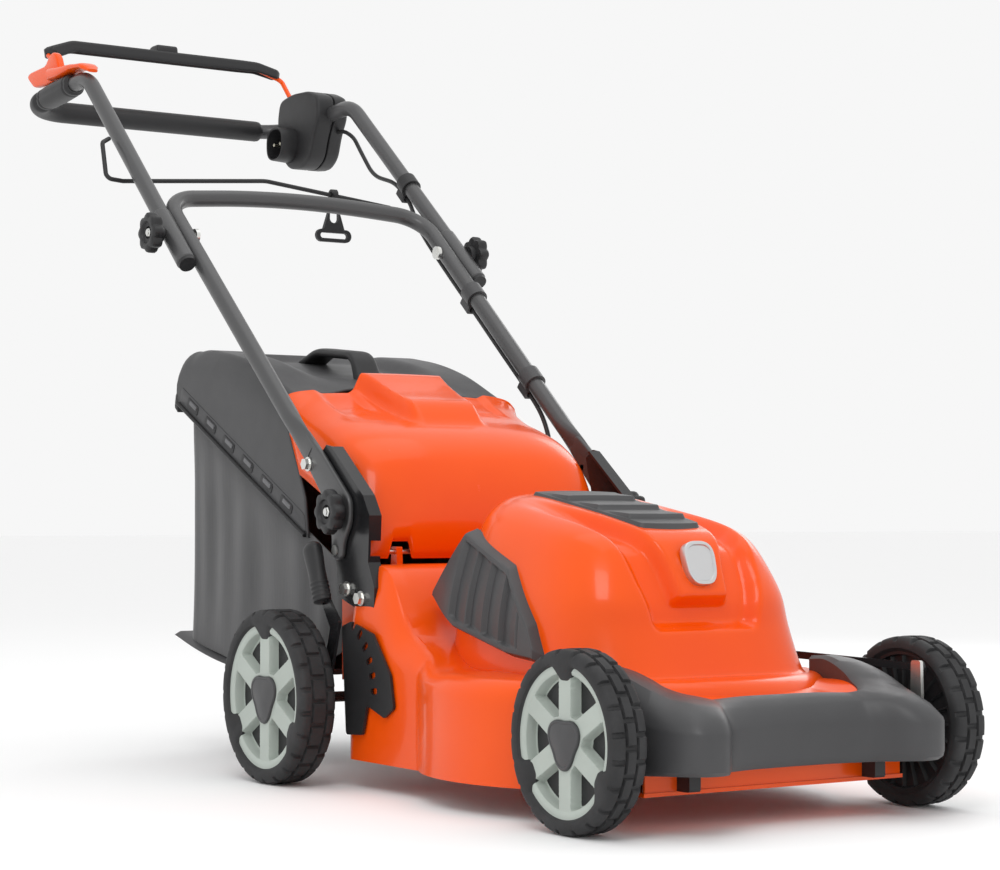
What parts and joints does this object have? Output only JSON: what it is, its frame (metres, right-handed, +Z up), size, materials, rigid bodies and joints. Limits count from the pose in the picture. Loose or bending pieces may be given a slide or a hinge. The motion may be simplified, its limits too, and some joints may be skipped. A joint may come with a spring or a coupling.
{
  "type": "corded electric lawn mower",
  "caption": "Walk-behind rotary lawn mower with a corded electric motor, folding tube handle, safety bail, crank height setting and a rear grass bag.",
  "frame": {"origin": "middle of the whole mower's footprint, on the ground that the wheels stand on", "axes": "+Z up, -Y forwards (the bumper end), +Y towards the operator, +X to the mower's left side"},
  "size_m": [0.537, 1.523, 1.003],
  "materials": {
    "orange_hood": "gloss orange moulded plastic",
    "orange_deck": "gloss orange powder coat on pressed steel",
    "dark_trim": "satin dark grey moulded plastic",
    "black_plastic": "matt black moulded plastic",
    "bracket_paint": "gloss black paint on pressed steel",
    "tube_paint": "dark grey metallic paint on steel tube",
    "tyre_black": "matt black moulded tread",
    "rim_grey": "pale grey-green moulded plastic",
    "bag_cloth": "dark grey woven polyester",
    "zinc": "bright zinc plate",
    "blade_steel": "ground steel with a dark oil finish",
    "motor_metal": "cast and laminated motor metal",
    "copper_brass": "plated brass contact pins",
    "cable_black": "black flexible cable sheath",
    "badge_plain": "plain brushed badge with no mark"
  },
  "bodies": {
    "chassis": {"deck": "orange_deck", "hood": "orange_hood", "hood_grille": "dark_trim", "hood_badge": "badge_plain", "side_vents": "dark_trim", "front_bumper": "dark_trim", "handle_brackets": "bracket_paint", "bracket_bolts": "zinc", "height_quadrant": "black_plastic", "motor_stator": "motor_metal", "motor_bearings": "motor_metal", "axle_saddles": "black_plastic", "flap_hinge_pin": "zinc", "flap_spring": "zinc", "cable_lower": "cable_black"},
    "blade_rotor": {"motor_rotor": "motor_metal", "cooling_fan": "black_plastic", "blade_hub": "motor_metal", "cutting_blade": "blade_steel", "blade_bolt": "zinc"},
    "front_crank": {"front_axle": "zinc"},
    "rear_crank": {"rear_axle": "zinc", "lever_grip": "dark_trim"},
    "height_link": {"link_rod": "zinc"},
    "flap": {"rear_flap": "orange_hood"},
    "bag": {"bag_lid": "dark_trim", "bag_carry_handle": "black_plastic", "bag_fabric": "bag_cloth", "bag_base": "dark_trim"},
    "lower_frame": {"lower_handle": "tube_paint", "handle_bolts": "zinc", "lower_cable_clips": "black_plastic", "cable_middle": "cable_black"},
    "upper_frame": {"upper_handle": "tube_paint", "crossbar_cover": "dark_trim", "grip_sleeve": "dark_trim", "bail_bracket": "orange_hood", "upper_tube_fittings": "black_plastic", "wire_guide": "black_plastic", "switch_box_inner": "dark_trim", "switch_box_outer": "dark_trim", "power_inlet": "dark_trim", "inlet_pins": "copper_brass", "cable_upper": "cable_black"},
    "bail": {"bail_grip": "dark_trim", "bail_rod": "orange_hood"},
    "hook": {"cord_hook": "black_plastic"},
    "front_right_wheel": {"front_right_tyre": "tyre_black", "front_right_rim": "rim_grey"},
    "front_left_wheel": {"front_left_tyre": "tyre_black", "front_left_rim": "rim_grey"},
    "rear_right_wheel": {"rear_right_tyre": "tyre_black", "rear_right_rim": "rim_grey"},
    "rear_left_wheel": {"rear_left_tyre": "tyre_black", "rear_left_rim": "rim_grey"},
    "lower_knob_right_body": {"lower_knob_right": "black_plastic"},
    "lower_knob_left_body": {"lower_knob_left": "black_plastic"},
    "upper_knob_right_body": {"upper_knob_right": "black_plastic"},
    "upper_knob_left_body": {"upper_knob_left": "black_plastic"}
  },
  "joints": [
    {"name": "front_right_spin", "type": "hinge", "parent": "front_crank", "child": "front_right_wheel", "pos_m": [-0.2195, -0.645, 0.09], "axis": [1, 0, 0], "continuous": true},
    {"name": "front_left_spin", "type": "hinge", "parent": "front_crank", "child": "front_left_wheel", "pos_m": [0.2195, -0.645, 0.09], "axis": [1, 0, 0], "continuous": true},
    {"name": "rear_right_spin", "type": "hinge", "parent": "rear_crank", "child": "rear_right_wheel", "pos_m": [-0.2455, -0.086, 0.1], "axis": [1, 0, 0], "continuous": true},
    {"name": "rear_left_spin", "type": "hinge", "parent": "rear_crank", "child": "rear_left_wheel", "pos_m": [0.2455, -0.086, 0.1], "axis": [1, 0, 0], "continuous": true},
    {"name": "height_lever", "type": "hinge", "parent": "chassis", "child": "rear_crank", "pos_m": [0, -0.131, 0.1], "axis": [1, 0, 0], "range_deg": [-30, 30]},
    {"name": "front_height", "type": "hinge", "parent": "chassis", "child": "front_crank", "pos_m": [0, -0.69, 0.09], "axis": [1, 0, 0], "range_deg": [-30, 30]},
    {"name": "link_swing", "type": "hinge", "parent": "rear_crank", "child": "height_link", "pos_m": [0.187, -0.131, 0.16], "axis": [1, 0, 0], "range_deg": [-30, 30]},
    {"name": "blade_spin", "type": "hinge", "parent": "chassis", "child": "blade_rotor", "pos_m": [0, -0.4255, 0.1], "axis": [0, 0, 1], "continuous": true},
    {"name": "flap_lift", "type": "hinge", "parent": "chassis", "child": "flap", "pos_m": [0, -0.1495, 0.266], "axis": [1, 0, 0], "range_deg": [0, 60], "stiffness_Nm_per_rad": 0.9, "springref_deg": -57.3},
    {"name": "bag_removal", "type": "slide", "parent": "chassis", "child": "bag", "axis": [0, 1, 0], "range_m": [0, 0.38]},
    {"name": "lower_fold", "type": "hinge", "parent": "chassis", "child": "lower_frame", "pos_m": [0, -0.1515, 0.312], "axis": [1, 0, 0], "range_deg": [0, 50]},
    {"name": "upper_fold", "type": "hinge", "parent": "lower_frame", "child": "upper_frame", "pos_m": [0, 0.2545, 0.669], "axis": [1, 0, 0], "range_deg": [0, 150]},
    {"name": "bail_pull", "type": "hinge", "parent": "upper_frame", "child": "bail", "pos_m": [0, 0.6445, 0.942], "axis": [-1, 0, 0], "range_deg": [0, 34], "stiffness_Nm_per_rad": 0.8, "springref_deg": -28.65},
    {"name": "hook_slide", "type": "slide", "parent": "upper_frame", "child": "hook", "axis": [0.9937, 0.0339, -0.1066], "range_m": [-0.08, 0.06]},
    {"name": "lower_knob_right_turn", "type": "hinge", "parent": "chassis", "child": "lower_knob_right_body", "pos_m": [-0.211, -0.1515, 0.312], "axis": [1, 0, 0], "continuous": true},
    {"name": "lower_knob_left_turn", "type": "hinge", "parent": "chassis", "child": "lower_knob_left_body", "pos_m": [0.211, -0.1515, 0.312], "axis": [1, 0, 0], "continuous": true},
    {"name": "upper_knob_right_turn", "type": "hinge", "parent": "lower_frame", "child": "upper_knob_right_body", "pos_m": [-0.244, 0.2545, 0.669], "axis": [1, 0, 0], "continuous": true},
    {"name": "upper_knob_left_turn", "type": "hinge", "parent": "lower_frame", "child": "upper_knob_left_body", "pos_m": [0.244, 0.2545, 0.669], "axis": [1, 0, 0], "continuous": true}
  ],
  "couplings": [
    {"joint": "front_height", "follows": "height_lever", "ratio": 1},
    {"joint": "link_swing", "follows": "height_lever", "ratio": -1}
  ]
}
